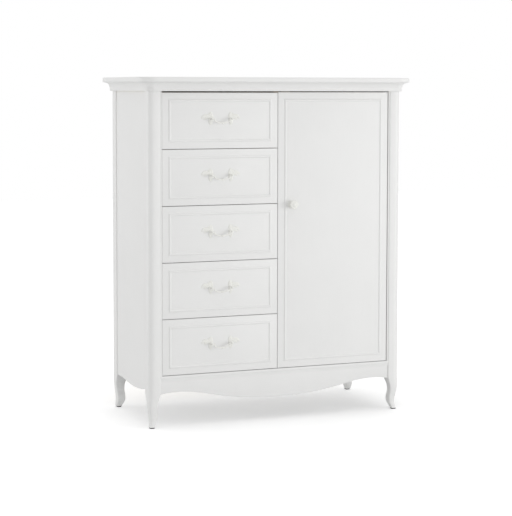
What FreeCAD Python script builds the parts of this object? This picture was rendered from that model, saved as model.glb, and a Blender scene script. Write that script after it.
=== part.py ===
"""Chifforobe: five drawers on the left beside one tall door, in a painted wooden case.

The case stands on four corner posts that run down into slim cabriole legs, and carries a coved
cornice with rounded front corners.  Drawers run on hardwood side runners in grooved drawer sides.
The door swings on a pair of centre-hung pivots let into its top and bottom edges.
Millimetres.  +Z is up, the front faces -Y, and the origin is on the floor under the middle of the
overall box.
"""
import FreeCAD, Part
import math
import os

V = FreeCAD.Vector

# ---------------------------------------------------------------- driving dimensions
# The case as a whole
height = 1372.0               # floor to the surface of the top board
case_width = 1088.0           # across the outer faces of the posts
case_depth = 480.0            # faces of the front posts to the backs of the rear posts
top_overhang = 42.0           # top board beyond the case, at the front and both sides
top_thickness = 19.0
top_edge_round = 6.0
cornice_height = 55.0         # underside of the cornice to the surface of the top board
deck_height = 205.0           # floor to the upper face of the bottom panel

# Corner posts and cabriole legs
post_width = 50.0             # seen from the front
front_post_depth = 50.0       # seen from the side
rear_post_depth = 46.0
corner_radius = 25.0          # rounded outer corner of each front post
post_arris = 2.0              # softened edges of the posts
leg_height = 150.0            # floor to where the post begins to thin into the leg
glide_width = 19.0
glide_height = 4.0

# Panels of the case
side_thickness = 16.0
side_set_in = 4.0             # side panel behind the outer faces of its posts
side_edge_front = 150.0       # lower edge of the side panel above the floor: at the front post,
side_edge_rear = 142.0        # at the rear post,
side_edge_middle = 133.0      # and at its middle
back_thickness = 6.0
back_set_in = 6.0
deck_thickness = 16.0
ceiling_thickness = 19.0      # case top panel, under the cornice
top_rail_width = 20.0
partition_thickness = 20.0

# Front frame
stile_width = 6.0
door_line = -2.0              # joint between drawers and door, from the centre line
stile_thickness = 20.0
front_set_back = 2.0          # stiles, drawer fronts and door behind the faces of the posts
apron_set_back = 4.0          # apron behind the faces of the posts
apron_thickness = 20.0
base_strip_height = 23.0
apron_end = 132.5             # lower edge of the apron above the floor: at the posts,
apron_arch = 139.0            # at the crown of each side arch,
apron_middle = 92.0           # and at the middle of the long drop

# Cornice moulding
cornice_base = 11.0           # reach of the flat band at the foot of the moulding
cornice_band = 16.0           # height of that band
cornice_step = 2.0            # small step between the band and the cove
cove_radius = 18.0
cornice_lip = 3.0             # flat lip between the cove and the top board

# Drawer fronts and door
drawer_count = 5
front_thickness = 20.0
front_arris = 2.0
gap = 2.0                     # between neighbouring fronts
stile_gap = 0.8               # between the drawer fronts and the face strip beside them
top_gap = 5.0                 # above the top drawer
door_top_gap = 3.5            # above the door
hinge_gap = 3.2               # beside the hinge edge of the door
hinge_arris = 3.5             # rounding that lets the hinge edge swing past its stile
drawer_bead_inset = 26.0      # outer edge of a front to the outer edge of its beading
door_bead_inset = 26.5
bead_width = 11.0
bead_rise = 3.2

# Drawer boxes and runners
box_back_play = 36.0          # back of a closed drawer box to the back panel
box_height = 165.0
box_rise = 14.0               # lower edge of the box above the lower edge of its front
box_wall = 14.0
box_end = 12.0                # inner front and back of the box
box_bottom = 6.0
box_bottom_rise = 8.0
box_bottom_groove = 5.0
side_clearance = 5.0          # drawer side to the stile line and to the partition
groove_depth = 7.0
groove_height = 17.0
runner_play = 0.5             # above and below a runner in its groove
runner_end_play = 1.0         # edge of a runner to the floor of its groove
runner_back_play = 28.0       # rear end of a runner to the back panel
runner_nose = 3.0             # bevel at the front end
runner_front_play = 2.0       # runner and partition behind the drawer fronts
batten_width = 40.0

# Bail pulls
pull_centres = 83.0           # post to post
pull_rise = 6.5               # bail axis above the middle of the drawer front
pull_stand = 21.0             # bail axis in front of the drawer front
pull_stem_radius = 3.0
pull_eye_radius = 4.4
pull_eye_width = 8.0
pull_pin_radius = 2.0
pull_pin_play = 0.05
pull_pin_end = 2.0            # outer face of the eye to the end of the bail's pin
bail_drop = 15.5              # bail axis to the lowest point of the bail's centre line
bail_radius = 2.6
bail_knop_radius = 4.4
bail_swag_radius = 80.0
bail_shoulder_radius = 10.0
bail_side_play = 0.9          # bail arm to the eye beside it

# Knob
knob_height = 865.0
knob_inset = 59.0             # free edge of the door to the knob
knob_radius = 19.0
knob_reach = 33.0

# Door pivots
pivot_inset = 10.0            # hinge edge and face of the door to the pivot axis
pivot_pin_radius = 3.0
pivot_play = 0.05
pivot_engagement = 12.0
socket_width = 12.0
socket_depth = 14.0
socket_reach = 24.0           # pivot axis to the end of the socket, into the door
socket_edge = 3.0             # hinge edge of the door to the socket
pivot_plate_length = 50.0
pivot_plate_end = 16.0        # pivot axis to the end of the plate beside the post
pivot_plate_width = 12.0
pivot_plate_thickness = 2.0

# Door catch
catch_length = 40.0
catch_depth = 15.0
catch_height = 14.0
strike_thickness = 1.5
strike_margin = 5.0           # the strike is this much shorter than the catch at each end
catch_inset = 20.0            # free edge of the door to the catch

# Inside the door compartment
shelf_height = 480.0          # floor to the upper face of the shelf
shelf_thickness = 18.0
shelf_play = 1.0              # at each end
shelf_front = 62.0            # faces of the posts to the front edge of the shelf
cleat_width = 18.0
cleat_set_back = 12.0         # front edge of the shelf to the ends of its cleats
rod_radius = 15.0
rod_drop = 70.0               # case top panel to the centre of the garment rod
bracket_width = 60.0
bracket_height = 56.0
bracket_thickness = 18.0
bracket_plate = 5.0           # left behind the slot that holds the rod
bracket_lip = 16.0            # under the rod

# ---------------------------------------------------------------- planes shared by the pieces
overall_depth = case_depth + top_overhang
y_front = top_overhang - overall_depth / 2
y_back = overall_depth / 2
half_width = case_width / 2
post_inner = half_width - post_width
opening_half = post_inner - stile_width
side_outer = half_width - side_set_in
side_inner = side_outer - side_thickness
y_post_back = y_front + front_post_depth
y_rear_post = y_back - rear_post_depth
y_back_panel = y_back - back_set_in - back_thickness
z_top = height - top_thickness
z_ceiling = height - cornice_height
z_ceiling_top = z_ceiling + ceiling_thickness
z_deck = deck_height
z_deck_under = deck_height - deck_thickness
y_fronts = y_front + front_set_back
y_fronts_back = y_fronts + front_thickness
y_carcase = y_fronts_back + runner_front_play
partition_left = door_line - partition_thickness / 2
partition_right = door_line + partition_thickness / 2

pitch = (z_ceiling - top_gap - z_deck) / drawer_count
front_height = pitch - gap
front_left = stile_gap - opening_half
front_right = door_line - gap / 2
door_left = door_line + gap / 2
door_right = opening_half - hinge_gap
door_bottom = z_deck + gap
door_top = z_ceiling - door_top_gap
box_left = side_clearance - opening_half
box_right = partition_left - side_clearance


# ---------------------------------------------------------------- small helpers
def block(x0, x1, y0, y1, z0, z1):
    return Part.makeBox(x1 - x0, y1 - y0, z1 - z0, V(x0, y0, z0))


def line(start, end):
    return Part.LineSegment(start, end).toShape()


def arc(start, middle, end):
    return Part.Arc(start, middle, end).toShape()


def spline(points):
    curve = Part.BSplineCurve()
    curve.interpolate(points)
    return curve.toShape()


def face(edges):
    return Part.Face(Part.Wire(edges))


def one_solid(shape):
    return shape.removeSplitter().Solids[0]


def mirrored(shape):
    return shape.mirror(V(0, 0, 0), V(1, 0, 0))


def softened_rectangle(x0, x1, y0, y1, cuts, rounded, z):
    """Wire at height z; cuts go round from the corner (x0, y0), by way of (x1, y0).

    Corners whose index is in rounded become arcs and the others are cut off straight.
    """
    corners = [V(x0, y0, z), V(x1, y0, z), V(x1, y1, z), V(x0, y1, z)]
    starts = []
    ends = []
    for index, corner in enumerate(corners):
        starts.append(corner + (corners[index - 1] - corner).normalize() * cuts[index])
        ends.append(corner + (corners[(index + 1) % 4] - corner).normalize() * cuts[index])
    edges = []
    for index, corner in enumerate(corners):
        if index in rounded:
            centre = starts[index] + ends[index] - corner
            middle = centre + (corner - centre).normalize() * cuts[index]
            edges.append(arc(starts[index], middle, ends[index]))
        elif cuts[index]:
            edges.append(line(starts[index], ends[index]))
        edges.append(line(ends[index], starts[(index + 1) % 4]))
    return Part.Wire(edges)


def flat(points):
    return Part.Face(Part.makePolygon(list(points) + [points[0]]))


def ring(centre, across, upwards, radius, count, flute=0.0):
    """Corners of a regular polygon; every other corner is drawn in by the share flute."""
    corners = []
    for index in range(count):
        angle = 2 * math.pi * (index + 0.5) / count
        reach = radius * (1 - flute * (index % 2))
        corners.append(centre + across * (reach * math.cos(angle))
                       + upwards * (reach * math.sin(angle)))
    return corners


def faceted(rings):
    """Solid with flat facets between neighbouring rings, which all have equally many corners."""
    faces = [flat(rings[0]), flat(rings[-1])]
    for near, far in zip(rings, rings[1:]):
        for index in range(len(near)):
            after = (index + 1) % len(near)
            faces.append(flat([near[index], near[after], far[after]]))
            faces.append(flat([near[index], far[after], far[index]]))
    shell = Part.makeShell(faces)
    shell.sewShape()
    solid = Part.makeSolid(shell)
    if solid.Volume < 0:
        solid.reverse()
    return solid


def save(node, *solids):
    shape = solids[0] if len(solids) == 1 else Part.makeCompound(list(solids))
    shape.exportStep("parts/" + node + ".step")


# ---------------------------------------------------------------- posts and cabriole legs
# Stations down the leg: share of leg_height, set-in of the two outer faces, reach of the inner
# side face, how much deeper the leg is than that reach, and radius of the rounded outer corner.
LEG_STATIONS = [
    (1.00, 0.0, 50.0, 0.0, 25.0),
    (0.90, 0.0, 49.8, 0.0, 24.0),
    (0.80, 0.3, 45.5, -0.5, 21.0),
    (0.70, 1.2, 40.5, -1.0, 17.0),
    (0.60, 2.8, 38.0, 0.0, 13.5),
    (0.50, 5.4, 37.4, 2.0, 10.5),
    (0.40, 8.6, 38.2, 6.0, 8.5),
    (0.30, 11.4, 39.0, 9.0, 7.5),
    (0.20, 12.0, 37.6, 8.5, 7.0),
    (0.11, 10.0, 33.0, 4.5, 6.0),
]
FOOT_SET_IN = 7.5
FOOT_WIDTH = 21.0
LEG_ARRIS = 5.0
REAR_KICK = 0.3               # share of the set-in that the backs of the rear legs have,
REAR_SPLAY = 0.55             # and their outer side faces


def leg_section(set_in, reach_x, reach_y, cuts, z, at_back):
    x0 = half_width - reach_x
    if at_back:
        return softened_rectangle(x0, half_width - set_in * REAR_SPLAY, y_back - reach_y,
                                  y_back - set_in * REAR_KICK, cuts, (), z)
    return softened_rectangle(x0, half_width - set_in, y_front + set_in, y_front + reach_y, cuts,
                              (1,), z)


def post(at_back):
    """One right-hand post with its leg: a square timber above, lofted into an S-curve below."""
    depth = rear_post_depth if at_back else front_post_depth
    wires = []
    for share, set_in, reach, deeper, radius in LEG_STATIONS:
        softened = post_arris + (LEG_ARRIS - post_arris) * (1 - share)
        outer = softened if at_back else radius * corner_radius / LEG_STATIONS[0][4]
        reach_x = reach * post_width / LEG_STATIONS[0][2]
        reach_y = reach_x + deeper + depth - post_width
        wires.append(leg_section(set_in, reach_x, reach_y, (softened, outer, softened, softened),
                                 share * leg_height, at_back))
    foot = FOOT_SET_IN + FOOT_WIDTH
    foot_y = FOOT_SET_IN * REAR_KICK + FOOT_WIDTH if at_back else foot
    wires.append(leg_section(FOOT_SET_IN, foot, foot_y, (LEG_ARRIS,) * 4, glide_height, at_back))
    leg = Part.makeLoft(wires, True, True)
    timber = Part.Face(wires[0]).extrude(V(0, 0, z_top - leg_height))
    return one_solid(timber.fuse(leg))


def glides():
    """Four plastic glides tacked under the feet."""
    inner = half_width - FOOT_SET_IN - FOOT_WIDTH / 2 - glide_width / 2
    outer = inner + glide_width
    front = y_front + half_width - outer
    rear = y_back - half_width + inner + FOOT_SET_IN * (1 - REAR_KICK)
    pads = []
    for x in (-outer, inner):
        for y in (front, rear):
            pads.append(block(x, x + glide_width, y, y + glide_width, 0, glide_height))
    return pads


# ---------------------------------------------------------------- case panels
def side_panel():
    """Right-hand side, with a shallow belly along its lower edge."""
    middle = (y_post_back + y_rear_post) / 2
    quarter = (y_rear_post - y_post_back) / 4
    ends = V(side_inner, y_post_back, side_edge_front), V(side_inner, y_rear_post, side_edge_rear)
    lower = spline([ends[0], V(side_inner, middle - quarter, side_edge_middle + 3),
                    V(side_inner, middle, side_edge_middle),
                    V(side_inner, middle + quarter, side_edge_middle + 8), ends[1]])
    tops = V(side_inner, y_rear_post, z_top), V(side_inner, y_post_back, z_top)
    outline = face([lower, line(ends[1], tops[0]), line(tops[0], tops[1]), line(tops[1], ends[0])])
    return outline.extrude(V(side_thickness, 0, 0))


def notched_panel(y0, z0, thickness):
    """Level board between the side panels, cut round the four posts."""
    board = block(-side_inner, side_inner, y0, y_back_panel, z0, z0 + thickness)
    for x0 in (-half_width, post_inner):
        board = board.cut(block(x0, x0 + post_width, y_front, y_post_back, z0, z0 + thickness))
        board = board.cut(block(x0, x0 + post_width, y_rear_post, y_back, z0, z0 + thickness))
    return one_solid(board)


def front_apron():
    """Shaped board under the drawers: an arch beside each leg and a long drop at the middle."""
    y = y_front + apron_set_back
    rise = apron_arch - apron_middle
    half_edge = [
        (0.0, 0.0), (0.20, 0.05), (0.36, 0.20), (0.52, 0.48), (0.68, 0.835),
        (0.825, 1.0), (0.93, 0.96),
    ]
    right = [V(share * post_inner, y, apron_middle + rise * up) for share, up in half_edge]
    right.append(V(post_inner, y, apron_end))
    left = [V(-point.x, y, point.z) for point in reversed(right[1:])]
    corner_right = V(post_inner, y, z_deck_under)
    corner_left = V(-post_inner, y, z_deck_under)
    outline = face([spline(left + right), line(right[-1], corner_right),
                    line(corner_right, corner_left), line(corner_left, left[0])])
    return outline.extrude(V(0, apron_thickness, 0))


def base_strip():
    """Beaded strip that covers the front edge of the bottom panel."""
    back = y_front + apron_set_back
    middle = y_front + apron_set_back / 2
    top = z_deck
    foot = z_deck - base_strip_height
    bead_foot = top - base_strip_height * 0.52
    cove_top = bead_foot - 2.0

    def at(y, z):
        return V(-post_inner, y, z)

    outline = face([
        line(at(back, foot), at(back, top)),
        line(at(back, top), at(middle, top)),
        arc(at(middle, top), at(y_front, (top + bead_foot) / 2), at(middle, bead_foot)),
        line(at(middle, bead_foot), at(middle, cove_top)),
        arc(at(middle, cove_top), at(middle + 0.9, (cove_top + foot) / 2), at(back, foot)),
    ])
    return outline.extrude(V(2 * post_inner, 0, 0))


# ---------------------------------------------------------------- cornice and top board
def cornice_face(at):
    """Moulding section; at(reach, z) places a point of it."""
    band = z_ceiling + cornice_band
    cove_foot = cornice_base + cornice_step
    cove_top = cove_foot + cove_radius
    cove_end = band + cove_radius
    lip = cove_top + cornice_lip
    soft = 2.5
    diagonal = 0.5 ** 0.5
    bend = at(cove_top - cove_radius * diagonal, band + cove_radius * diagonal)
    return face([
        line(at(0, z_ceiling), at(cornice_base - soft, z_ceiling)),
        line(at(cornice_base - soft, z_ceiling), at(cornice_base, z_ceiling + soft)),
        line(at(cornice_base, z_ceiling + soft), at(cornice_base, band)),
        line(at(cornice_base, band), at(cove_foot, band)),
        arc(at(cove_foot, band), bend, at(cove_top, cove_end)),
        line(at(cove_top, cove_end), at(lip, cove_end)),
        line(at(lip, cove_end), at(lip, z_top)),
        line(at(lip, z_top), at(0, z_top)),
        line(at(0, z_top), at(0, z_ceiling)),
    ])


def cornice_front():
    """Front length; each end turns half-way round the corner, to the mitre."""
    reach = half_width - corner_radius
    section = cornice_face(lambda out, z: V(-reach, y_front - out, z))
    moulding = section.extrude(V(2 * reach, 0, 0))
    for x, turn in ((-reach, -45), (reach, 45)):
        end = cornice_face(lambda out, z: V(x, y_front - out, z))
        bend = end.revolve(V(x, y_front + corner_radius, 0), V(0, 0, 1), turn)
        moulding = moulding.fuse(bend)
    return one_solid(moulding)


def cornice_side():
    """Right-hand return, from the mitre round the rest of the corner and back to the wall."""
    y0 = y_front + corner_radius
    section = cornice_face(lambda out, z: V(half_width + out, y0, z))
    moulding = section.extrude(V(0, y_back - y0, 0))
    bend = section.revolve(V(half_width - corner_radius, y0, 0), V(0, 0, 1), -45)
    return one_solid(moulding.fuse(bend))


def top_board():
    """Top board with round front corners and a softened edge."""
    x = half_width + top_overhang
    radius = corner_radius + top_overhang
    wire = softened_rectangle(-x, x, y_front - top_overhang, y_back, (radius, radius, 0, 0),
                              (0, 1), z_top)
    board = Part.Face(wire).extrude(V(0, 0, top_thickness))
    upper = [e for e in board.Edges
             if e.BoundBox.ZMin > height - 0.01 and e.BoundBox.YMin < y_back - 1.0]
    return board.makeFillet(top_edge_round, upper)


def top_rails():
    """Front and rear rails under the top board, and a packing strip behind each cornice return."""
    return [
        block(-post_inner, post_inner, y_front, y_front + top_rail_width, z_ceiling_top, z_top),
        block(-post_inner, post_inner, y_back_panel - top_rail_width, y_back_panel,
              z_ceiling_top, z_top),
        block(-half_width, -side_outer, y_post_back, y_rear_post, z_ceiling, z_top),
        block(side_outer, half_width, y_post_back, y_rear_post, z_ceiling, z_top),
    ]


# ---------------------------------------------------------------- beading on the fronts
def bead_strip(length, width, rise):
    """Mitred strip along +X from the origin; +Z is out of the face, +Y towards the middle."""
    section = [(0, 0), (0.04, 0.42), (0.20, 0.84), (0.50, 1.0), (0.80, 0.84), (0.96, 0.42),
               (1, 0), (0, 0)]
    corners = [V(0, across * width, up * rise) for across, up in section]
    outline = Part.Face(Part.makePolygon(corners))
    strip = outline.extrude(V(length, 0, 0))
    for x, away in ((0, -1), (length, 1)):
        corners = [V(x, 0, 0), V(x - away * width, width, 0), V(x, width, 0), V(x, 0, 0)]
        wedge = Part.Face(Part.makePolygon(corners)).extrude(V(0, 0, rise * 2))
        strip = strip.cut(wedge)
    return one_solid(strip)


def beading(inset, x0, x1, z0, z1):
    """Four mitred strips on a front that reaches from x0 to x1 and z0 to z1."""
    x0, x1 = x0 + inset, x1 - inset
    z0, z1 = z0 + inset, z1 - inset
    corners = [(x0, z0, 0), (x1, z0, 90), (x1, z1, 180), (x0, z1, 270)]
    strips = []
    for index, (x, z, turn) in enumerate(corners):
        length = x1 - x0 if index % 2 == 0 else z1 - z0
        strip = bead_strip(length, bead_width, bead_rise)
        strip.rotate(V(0, 0, 0), V(0, 0, 1), turn)
        strip.rotate(V(0, 0, 0), V(1, 0, 0), 90)
        strip.translate(V(x, y_fronts, z))
        strips.append(strip)
    return strips


# ---------------------------------------------------------------- bail pulls
# Lobes of a right-hand mount: points along each lobe's spine, as x, z, half width and rise.
PULL_LOBES = [
    [(0.0, 2.0, 5.0, 3.0), (-1.5, 11.0, 6.5, 4.4), (-0.5, 20.0, 5.0, 3.8), (2.0, 28.0, 0.7, 1.4)],
    [(2.0, 3.0, 4.5, 3.0), (13.0, 8.0, 6.0, 4.4), (25.0, 9.0, 4.6, 3.8), (34.0, 5.5, 3.4, 3.0),
     (38.5, -0.5, 0.9, 1.4)],
    [(16.0, 5.0, 3.0, 2.8), (24.0, 0.5, 3.4, 2.8), (28.0, -5.5, 0.8, 1.2)],
    [(0.5, -2.0, 5.0, 3.0), (4.0, -11.0, 5.6, 4.4), (3.0, -19.0, 4.2, 3.6), (-2.5, -24.5, 0.9, 1.4)],
    [(-1.0, 0.0, 4.0, 3.0), (-7.5, 3.0, 3.4, 3.0), (-10.5, 8.5, 0.8, 1.2)],
]


def lobe(spine):
    """Carved leaf with a ridge along its spine, running out to a point."""
    rings = []
    for index, (x, z, half, rise) in enumerate(spine):
        before = spine[max(index - 1, 0)]
        after = spine[min(index + 1, len(spine) - 1)]
        across = V(before[1] - after[1], 0, after[0] - before[0]).normalize() * half
        middle = V(x, 0, z)
        rings.append([middle - across, middle + V(0, -rise, 0), middle + across])
    return faceted(rings)


def pull_mount():
    """Right-hand mount at the origin: carved lobes round a turned stem, and an eye for the bail."""
    stem = [ring(V(0, -out, 0), V(1, 0, 0), V(0, 0, 1), radius, 8)
            for out, radius in ((0, 7.5), (4, 7.0), (8, pull_stem_radius),
                                (pull_stand, pull_stem_radius))]
    half_eye = V(pull_eye_width / 2, 0, 0)
    centre = V(0, -pull_stand, 0)
    eye = faceted([ring(end, V(0, 1, 0), V(0, 0, 1), pull_eye_radius, 8)
                   for end in (centre - half_eye, centre + half_eye)])
    mount = faceted(stem).fuse([eye] + [lobe(spine) for spine in PULL_LOBES])
    bore = Part.makeCylinder(pull_pin_radius + pull_pin_play, pull_eye_width, centre - half_eye,
                             V(1, 0, 0))
    return one_solid(mount.cut(bore))


def bail():
    """Swag handle with its axis on the X axis, hanging down, thickened to a knop at the middle."""
    arm = pull_centres / 2 - pull_eye_width / 2 - bail_side_play - bail_radius
    joint = bail_swag_radius - bail_shoulder_radius
    swag = V(0, 0, bail_swag_radius - bail_drop)
    end_angle = math.asin((arm - bail_shoulder_radius) / joint)
    shoulder = swag + V(math.sin(end_angle) * joint, 0, -math.cos(end_angle) * joint)
    # Share of the sweep of the swag or the shoulder, and radius of the handle there.
    swag_steps = [(0.0, bail_knop_radius), (0.10, bail_knop_radius * 0.8), (0.16, bail_radius),
                  (0.5, bail_radius * 1.12), (1.0, bail_radius)]
    shoulder_steps = [(0.5, bail_radius), (1.0, bail_radius)]
    stations = [(swag, bail_swag_radius, share * end_angle, radius) for share, radius in swag_steps]
    for share, radius in shoulder_steps:
        angle = end_angle + share * (math.pi / 2 - end_angle)
        stations.append((shoulder, bail_shoulder_radius, angle, radius))
    right = []
    for middle, bend, angle, radius in stations:
        outward = V(math.sin(angle), 0, -math.cos(angle))
        right.append(ring(middle + outward * bend, outward, V(0, 1, 0), radius, 8))
    right.append(ring(V(arm, 0, bail_radius + 0.6), V(1, 0, 0), V(0, 1, 0), bail_radius, 8))
    left = [[V(-corner.x, corner.y, corner.z) for corner in corners]
            for corners in reversed(right[1:])]
    handle = faceted(left + right)
    pin_length = pull_centres / 2 + pull_eye_width / 2 - pull_pin_end - arm
    for side in (-1, 1):
        root = V(side * arm, 0, 0)
        handle = handle.fuse(Part.makeCylinder(pull_pin_radius, pin_length, root, V(side, 0, 0)))
    return one_solid(handle)


# ---------------------------------------------------------------- drawers
def drawer_box(z_box):
    """Two grooved sides, inner front, back and the bottom that sits in their grooves."""
    y0, y1 = y_fronts_back, y_back_panel - box_back_play
    z1 = z_box + box_height
    inner_left, inner_right = box_left + box_wall, box_right - box_wall
    z_bottom = z_box + box_bottom_rise
    bottom = block(inner_left - box_bottom_groove, inner_right + box_bottom_groove,
                   y0 + box_end - box_bottom_groove, y1 - box_end + box_bottom_groove,
                   z_bottom, z_bottom + box_bottom)
    z_groove = z_box + box_height / 2 - groove_height / 2
    left = block(box_left, inner_left, y0, y1, z_box, z1)
    left = left.cut(block(box_left, box_left + groove_depth, y0, y1,
                          z_groove, z_groove + groove_height))
    right = block(inner_right, box_right, y0, y1, z_box, z1)
    right = right.cut(block(box_right - groove_depth, box_right, y0, y1,
                            z_groove, z_groove + groove_height))
    ends = [block(inner_left, inner_right, y0, y0 + box_end, z_box, z1),
            block(inner_left, inner_right, y1 - box_end, y1, z_box, z1)]
    walls = [one_solid(wall.cut(bottom)) for wall in [left, right] + ends]
    return walls + [bottom]


def runner_pair(z_box):
    """Hardwood runners of one drawer: on the battens at the left, on the partition at the right."""
    z0 = z_box + box_height / 2 - groove_height / 2 + runner_play
    z1 = z0 + groove_height - 2 * runner_play
    width = side_clearance + groove_depth - runner_end_play
    pair = []
    for x0 in (-opening_half, partition_left - width):
        strip = block(x0, x0 + width, y_carcase, y_back_panel - runner_back_play, z0, z1)
        nose = [e for e in strip.Edges if e.BoundBox.YMax < y_carcase + 0.01 and e.BoundBox.XLength > 1]
        pair.append(strip.makeChamfer(runner_nose, nose))
    return pair


def drawer(number, z_front):
    """One drawer: front, beading, box, pull mounts and bail."""
    name = "drawer_%d_" % number
    front = block(front_left, front_right, y_fronts, y_fronts_back, z_front, z_front + front_height)
    face_edges = [e for e in front.Edges if e.BoundBox.YMax < y_fronts + 0.01]
    save(name + "front", front.makeChamfer(front_arris, face_edges))
    save(name + "beading", *beading(drawer_bead_inset, front_left, front_right, z_front,
                                    z_front + front_height))
    save(name + "box", *drawer_box(z_front + box_rise))
    x_middle = (front_left + front_right) / 2
    z_pull = z_front + front_height / 2 + pull_rise
    right = pull_mount()
    mounts = [mirrored(right), right]
    for mount, x in zip(mounts, (x_middle - pull_centres / 2, x_middle + pull_centres / 2)):
        mount.translate(V(x, y_fronts, z_pull))
    save(name + "pull_mounts", *mounts)
    handle = bail()
    handle.translate(V(x_middle, y_fronts - pull_stand, z_pull))
    save(name + "bail", handle)


# ---------------------------------------------------------------- door and what hangs it
pivot_x = door_right - pivot_inset
pivot_y = y_fronts + pivot_inset


def door_panel():
    """Door with a rounded hinge edge, a softened free edge and a pocket for each pivot socket."""
    panel = block(door_left, door_right, y_fronts, y_fronts_back, door_bottom, door_top)
    hinge_edge = [e for e in panel.Edges
                  if e.BoundBox.ZLength > 100 and e.BoundBox.XMin > door_right - 0.01]
    panel = panel.makeFillet(hinge_arris, hinge_edge)
    free_edge = [e for e in panel.Edges if e.BoundBox.ZLength > 100
                 and e.BoundBox.XMax < door_left + 0.01 and e.BoundBox.YMax < y_fronts + 0.01]
    panel = panel.makeChamfer(front_arris, free_edge)
    return one_solid(panel.cut(socket_block(door_bottom)).cut(socket_block(door_top - socket_depth)))


def door_knob():
    """Cast knob: a round foot, a waisted neck and a flattened head with shallow flutes."""
    # Share of knob_reach, radius as a share of knob_radius, and depth of the flutes there.
    profile = [(0.0, 0.84, 0.0), (0.07, 0.82, 0.0), (0.13, 0.52, 0.0), (0.24, 0.34, 0.0),
               (0.42, 0.34, 0.0), (0.55, 0.64, 0.04), (0.65, 0.95, 0.07), (0.73, 1.0, 0.07),
               (0.84, 0.86, 0.07), (0.94, 0.52, 0.05), (1.0, 0.18, 0.0)]
    rings = []
    for out, share, flute in profile:
        centre = V(door_left + knob_inset, y_fronts - knob_reach * out, knob_height)
        rings.append(ring(centre, V(1, 0, 0), V(0, 0, 1), knob_radius * share, 20, flute))
    return faceted(rings)


def pivot_plate(z_face, into_case):
    """Plate let into the case with its pin towards the door; into_case is +1 above, -1 below."""
    direction = V(0, 0, -into_case)
    door_gap = door_top_gap if into_case > 0 else gap
    z0 = min(z_face, z_face + into_case * pivot_plate_thickness)
    y0 = pivot_y - pivot_plate_width / 2
    x0 = pivot_x + pivot_plate_end - pivot_plate_length
    plate = block(x0, x0 + pivot_plate_length, y0, y0 + pivot_plate_width,
                  z0, z0 + pivot_plate_thickness)
    pin = Part.makeCylinder(pivot_pin_radius, door_gap + pivot_engagement,
                            V(pivot_x, pivot_y, z_face), direction)
    return plate, one_solid(plate.fuse(pin))


def socket_block(z0):
    return block(pivot_x - socket_reach, pivot_x + pivot_inset - socket_edge,
                 pivot_y - socket_width / 2, pivot_y + socket_width / 2, z0, z0 + socket_depth)


def pivot_socket(z0):
    """Block let into an end of the door, bored for the pivot pin."""
    return socket_block(z0).cut(Part.makeCylinder(pivot_pin_radius + pivot_play, socket_depth,
                                                  V(pivot_x, pivot_y, z0)))


# ---------------------------------------------------------------- inside the door compartment
shelf_y0 = y_front + shelf_front
shelf_y1 = y_back_panel - shelf_play
shelf_under = shelf_height - shelf_thickness
rod_y = (y_front + y_back_panel) / 2
rod_z = z_ceiling - rod_drop


def shelf():
    """Shelf on two cleats, notched round the rear post."""
    board = block(partition_right + shelf_play, side_inner - shelf_play, shelf_y0, shelf_y1,
                  shelf_under, shelf_height)
    notch = block(post_inner - shelf_play, half_width, y_rear_post - shelf_play, y_back,
                  shelf_under, shelf_height)
    return one_solid(board.cut(notch))


def shelf_cleats():
    return [block(x, x + cleat_width, shelf_y0 + cleat_set_back, y_rear_post,
                  shelf_under - cleat_width, shelf_under)
            for x in (partition_right, side_inner - cleat_width)]


def rod_bracket(x, inward):
    """Wooden bracket with a slot, open at the top, that holds one end of the garment rod."""
    z0 = rod_z - rod_radius - bracket_lip
    x0, x1 = sorted((x, x + inward * bracket_thickness))
    plate, end = sorted((x + inward * bracket_plate, x + inward * bracket_thickness))
    body = block(x0, x1, rod_y - bracket_width / 2, rod_y + bracket_width / 2,
                 z0, z0 + bracket_height)
    seat = Part.makeCylinder(rod_radius, end - plate, V(plate, rod_y, rod_z), V(1, 0, 0))
    slot = block(plate, end, rod_y - rod_radius, rod_y + rod_radius, rod_z, z0 + bracket_height)
    return one_solid(body.cut(seat.fuse(slot)))


def garment_rod():
    x0 = partition_right + bracket_plate
    x1 = side_inner - bracket_plate
    return Part.makeCylinder(rod_radius, x1 - x0, V(x0, rod_y, rod_z), V(1, 0, 0))


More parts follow.
